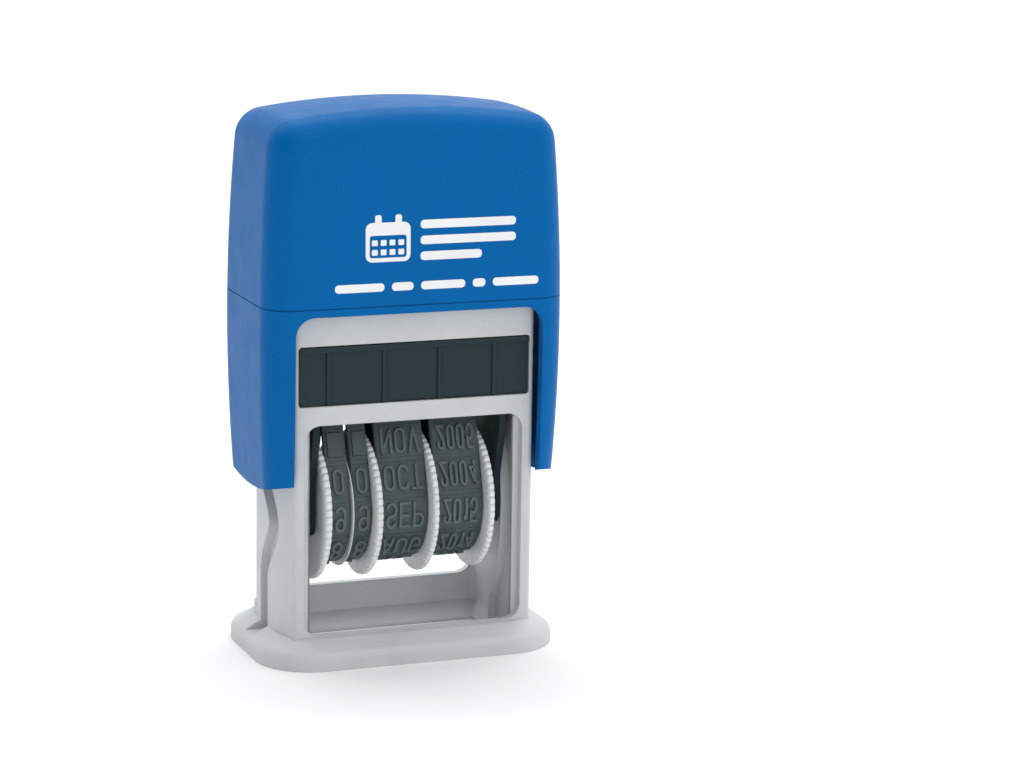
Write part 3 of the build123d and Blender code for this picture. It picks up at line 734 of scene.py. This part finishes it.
def make_pad():
    """The felt pad: a block with softly rounded edges and a slightly matted, uneven face."""
    low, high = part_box("ink_pad")
    rng = np.random.default_rng(7)
    nx, ny = 60, 32
    edge = PAD_EDGE
    top, bottom = high[2], low[2]
    rough = rng.normal(0.0, FELT_ROUGHNESS, (ny + 1, nx + 1))
    points, faces = [], []
    for level, height in ((0, bottom), (1, top)):
        for j in range(ny + 1):
            for i in range(nx + 1):
                x = low[0] + (high[0] - low[0]) * i / nx
                y = low[1] + (high[1] - low[1]) * j / ny
                near = min(x - low[0], high[0] - x, y - low[1], high[1] - y)
                round_off = edge - math.sqrt(max(0.0, edge**2 - max(0.0, edge - near) ** 2))
                z = height + round_off if level == 0 else height
                if level == 0 and near > edge * 0.5:
                    z += abs(rough[j, i])
                points.append((x, y, z))
    across = nx + 1
    layer = across * (ny + 1)
    for j in range(ny):
        for i in range(nx):
            a = j * across + i
            faces.append((a, a + across, a + across + 1, a + 1))
            b = a + layer
            faces.append((b, b + 1, b + across + 1, b + across))
    for i in range(nx):
        a, b = i, i + ny * across
        faces.append((a, a + 1, a + 1 + layer, a + layer))
        faces.append((b + 1, b, b + layer, b + 1 + layer))
    for j in range(ny):
        a, b = j * across, j * across + nx
        faces.append((a + across, a, a + layer, a + across + layer))
        faces.append((b, b + across, b + across + layer, b + layer))
    piece = new_piece("felt_ink_pad", points, faces, "pad_cartridge", "ink_felt", 50)
    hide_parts("ink_pad")


make_pad()

# ---- print on the cap ----
CAP_FRONT = 11.3 * MM
CAP_FACE_RADIUS = 500 * MM
CAP_WIDEST = 48.5 * MM
PRINT_SKIN = 0.02 * MM
PRINT_SINK = 0.03 * MM


def on_cap(x, z, lift):
    """A point on the cap's bowed front face."""
    return (x, -CAP_FRONT + (z - CAP_WIDEST) ** 2 / (2 * CAP_FACE_RADIUS) - lift, z)


def rounded_outline(x0, x1, z0, z1, corner, steps=6):
    """A rectangle with round corners, as points that go round it."""
    outline = []
    for cx, cz, start in (
        (x1 - corner, z0 + corner, -90),
        (x1 - corner, z1 - corner, 0),
        (x0 + corner, z1 - corner, 90),
        (x0 + corner, z0 + corner, 180),
    ):
        outline += arc(cx, cz, corner, corner, start, start + 90, steps)
    return outline


def print_patch(points, faces, outline):
    """A filled convex patch of paint with a real thickness."""
    base = len(points)
    count = len(outline)
    for lift in (-PRINT_SINK, PRINT_SKIN):
        points += [on_cap(x, z, lift) for x, z in outline]
    faces.append(tuple(base + count + i for i in range(count)))
    faces.append(tuple(base + i for i in reversed(range(count))))
    for i in range(count):
        j = (i + 1) % count
        faces.append((base + i, base + j, base + count + j, base + count + i))


def print_ring(points, faces, outer, inner):
    """A printed outline between two loops with the same number of points."""
    base = len(points)
    count = len(outer)
    for lift in (-PRINT_SINK, PRINT_SKIN):
        points += [on_cap(x, z, lift) for x, z in outer]
        points += [on_cap(x, z, lift) for x, z in inner]
    lo, li, ho, hi = base, base + count, base + 2 * count, base + 3 * count
    for i in range(count):
        j = (i + 1) % count
        faces.append((ho + i, ho + j, hi + j, hi + i))
        faces.append((lo + j, lo + i, li + i, li + j))
        faces.append((lo + i, lo + j, ho + j, ho + i))
        faces.append((li + j, li + i, hi + i, hi + j))


def print_bar(points, faces, x, z, length, height, corner):
    """A rounded bar of print, from its lower left corner; all in millimetres."""
    outline = rounded_outline(x * MM, (x + length) * MM, z * MM, (z + height) * MM, corner * MM)
    print_patch(points, faces, outline)


# The print's places on the cap's front, in millimetres.
SIGN_LEFT, SIGN_RIGHT, SIGN_BOTTOM, SIGN_TOP = -7.8, -1.6, 54.5, 59.7
SIGN_LINE = 0.55
SIGN_HEAD = 1.7
SIGN_RINGS = (-6.5, -3.7)
DAY_X, DAY_Z, DAY_STEP_X, DAY_STEP_Z = -6.95, 55.4, 1.22, 1.25
TEXT_BARS_X = -0.2
TEXT_BARS = ((58.7, 13.4), (56.6, 13.4), (54.5, 8.6))
LOWER_BARS_X, LOWER_BARS_Z = -12.0, 50.6
LOWER_BARS = (6.8, 3.0, 6.2, 1.8, 6.5)
LOWER_BARS_GAP = 1.05


def make_cap_print():
    """A plain calendar sign above a row of bars; it stands for the printing, and says nothing."""
    points, faces = [], []
    x0, x1, z0, z1 = SIGN_LEFT * MM, SIGN_RIGHT * MM, SIGN_BOTTOM * MM, SIGN_TOP * MM
    line = SIGN_LINE * MM
    outer = rounded_outline(x0, x1, z0, z1, 0.9 * MM)
    inner = rounded_outline(x0 + line, x1 - line, z0 + line, z1 - SIGN_HEAD * MM, 0.35 * MM)
    print_ring(points, faces, outer, inner)
    for x in SIGN_RINGS:
        print_bar(points, faces, x, 59.4, length=0.9, height=1.3, corner=0.3)
    for row in range(2):
        for column in range(4):
            x, z = DAY_X + column * DAY_STEP_X, DAY_Z + row * DAY_STEP_Z
            print_bar(points, faces, x, z, length=0.8, height=0.75, corner=0.12)
    for z, length in TEXT_BARS:
        print_bar(points, faces, TEXT_BARS_X, z, length, height=1.15, corner=0.5)
    x = LOWER_BARS_X
    for length in LOWER_BARS:
        print_bar(points, faces, x, LOWER_BARS_Z, length, height=1.1, corner=0.5)
        x += length + LOWER_BARS_GAP
    piece = new_piece("cap_print", points, faces, "cap", None)
    piece.data.materials.append(print_ink)


make_cap_print()

# ---- floor, light and camera ----
FLOOR_HALF = 12.0


def make_floor():
    """A wide white floor under the stamp."""
    mesh = bpy.data.meshes.new("floor")
    size = FLOOR_HALF
    corners = [(-size, -size, 0), (size, -size, 0), (size, size, 0), (-size, size, 0)]
    mesh.from_pydata(corners, [], [(0, 1, 2, 3)])
    floor = bpy.data.objects.new("floor", mesh)
    bpy.context.scene.collection.objects.link(floor)
    material, tree, shader, place = node_tree("floor_white")
    cloud = noise(tree, place, size=0.4)
    tint = ramp(tree, cloud, [(0.3, (0.93, 0.93, 0.93)), (0.7, (0.94, 0.94, 0.94))])
    tree.links.new(tint, shader.inputs["Base Color"])
    shader.inputs["Roughness"].default_value = 0.9
    shader.inputs["Specular IOR Level"].default_value = 0.0
    mesh.materials.append(material)


def area_light(name, position, target, size, power):
    """A rectangular softbox at a place, turned to a target."""
    data = bpy.data.lights.new(name, "AREA")
    data.shape = "RECTANGLE"
    data.size, data.size_y = size
    data.energy = power
    light = bpy.data.objects.new(name, data)
    light.location = position
    direction = Vector(target) - Vector(position)
    light.rotation_euler = direction.to_track_quat("-Z", "Y").to_euler()
    bpy.context.scene.collection.objects.link(light)


def sun_light(name, direction, spread, strength):
    """A very soft light that falls evenly on the whole floor."""
    data = bpy.data.lights.new(name, "SUN")
    data.angle = math.radians(spread)
    data.energy = strength
    light = bpy.data.objects.new(name, data)
    light.rotation_euler = Vector(direction).to_track_quat("Z", "Y").to_euler()
    bpy.context.scene.collection.objects.link(light)


# The surroundings are brighter at the back and the right than at the front and the left.
WORLD_DIM, WORLD_BRIGHT = 0.22, 1.0
WORLD_DIM_AT, WORLD_BRIGHT_AT = -0.8, 0.7
WORLD_SIDE_SHARE = 0.8


def make_world():
    """White surroundings whose strength grows along a slant; the camera sees plain white."""
    world = bpy.data.worlds.new("studio")
    bpy.context.scene.world = world
    world.use_nodes = True
    tree = world.node_tree
    background = tree.nodes["Background"]
    coordinates = tree.nodes.new("ShaderNodeTexCoord")
    split = tree.nodes.new("ShaderNodeSeparateXYZ")
    tree.links.new(coordinates.outputs["Generated"], split.inputs["Vector"])
    side_share = tree.nodes.new("ShaderNodeMath")
    side_share.operation = "MULTIPLY"
    side_share.inputs[1].default_value = WORLD_SIDE_SHARE
    tree.links.new(split.outputs["X"], side_share.inputs[0])
    slant = tree.nodes.new("ShaderNodeMath")
    slant.operation = "ADD"
    tree.links.new(side_share.outputs["Value"], slant.inputs[0])
    tree.links.new(split.outputs["Y"], slant.inputs[1])
    place = slant.outputs["Value"]
    strength = between(tree, place, WORLD_DIM, WORLD_BRIGHT, WORLD_DIM_AT, WORLD_BRIGHT_AT)
    tree.links.new(strength, background.inputs["Strength"])
    background.inputs["Color"].default_value = (1.0, 1.0, 1.0, 1.0)
    plain = tree.nodes.new("ShaderNodeBackground")
    plain.inputs["Color"].default_value = (1.0, 1.0, 1.0, 1.0)
    mix = tree.nodes.new("ShaderNodeMixShader")
    rays = tree.nodes.new("ShaderNodeLightPath")
    tree.links.new(rays.outputs["Is Camera Ray"], mix.inputs["Fac"])
    tree.links.new(background.outputs["Background"], mix.inputs[1])
    tree.links.new(plain.outputs["Background"], mix.inputs[2])
    tree.links.new(mix.outputs["Shader"], tree.nodes["World Output"].inputs["Surface"])


make_floor()
make_world()
sun_light("sky_sun", direction=(0.05, 0.05, 1.0), spread=80, strength=1.2)
sun_light("front_sun", direction=(0.1, -1.0, 0.5), spread=60, strength=0.65)
area_light(
    "left_softbox", position=(-0.6, 0.35, 0.3), target=(0, 0, 0.045), size=(0.5, 0.7), power=0.15
)
area_light(
    "top_strip", position=(0.05, 0.25, 0.55), target=(0, 0, 0.07), size=(0.8, 0.25), power=1.2
)

CAMERA_AZIMUTH = math.radians(21.436)
CAMERA_ELEVATION = math.radians(11.696)
CAMERA_ROLL = math.radians(0.907)
CAMERA_DISTANCE = 0.44677
CAMERA_TARGET = Vector((0.0174, 0.0, 0.0346))
SENSOR_WIDTH = 36.0
LENS = 114.11


def make_camera():
    """The camera, to the left of the front and a little above, and rolled slightly."""
    data = bpy.data.cameras.new("camera")
    data.sensor_width = SENSOR_WIDTH
    data.lens = LENS
    data.clip_start = 0.01
    camera = bpy.data.objects.new("camera", data)
    bpy.context.scene.collection.objects.link(camera)
    flat = math.cos(CAMERA_ELEVATION)
    aside, ahead = math.sin(CAMERA_AZIMUTH), math.cos(CAMERA_AZIMUTH)
    forward = Vector((aside * flat, ahead * flat, -math.sin(CAMERA_ELEVATION)))
    right = Vector((ahead, -aside, 0.0))
    up = right.cross(forward)
    turned_right = right * math.cos(CAMERA_ROLL) + up * math.sin(CAMERA_ROLL)
    turned_up = up * math.cos(CAMERA_ROLL) - right * math.sin(CAMERA_ROLL)
    rotation = Matrix((turned_right, turned_up, -forward)).transposed()
    place = CAMERA_TARGET - forward * CAMERA_DISTANCE
    camera.matrix_world = Matrix.Translation(place) @ rotation.to_4x4()
    bpy.context.scene.camera = camera


make_camera()
bpy.context.scene.view_settings.view_transform = "Standard"
